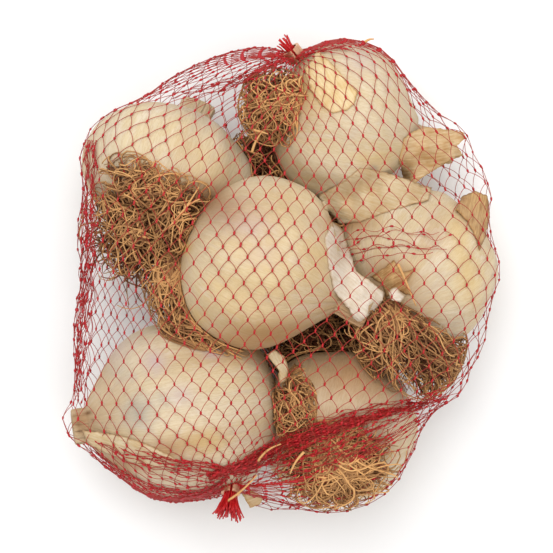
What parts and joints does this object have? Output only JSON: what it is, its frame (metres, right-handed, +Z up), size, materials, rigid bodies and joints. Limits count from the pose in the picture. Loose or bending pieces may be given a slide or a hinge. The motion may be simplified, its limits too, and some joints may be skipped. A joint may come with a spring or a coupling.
{
  "type": "net of garlic",
  "caption": "Knitted net bag of garlic bulbs with dried roots showing through the mesh, lying on its side, closed by a metal clip at each end.",
  "frame": {"origin": "centre of the bounding box, at the table the bag lies on", "axes": "+Z up; +Y along the bag towards its top clip; +X to the right as seen from above with the top clip away from the viewer"},
  "size_m": [0.1486, 0.1678, 0.08],
  "materials": {
    "garlic_skin": "dry papery skin with fine veins",
    "clip_metal": "satin, copper toned",
    "net_thread": "fine knitted red plastic thread",
    "dried_root": "dry, fibrous"
  },
  "bodies": {
    "root": {"net_bag": "garlic_skin", "bottom_clip": "clip_metal", "top_clip": "clip_metal"}
  },
  "joints": []
}
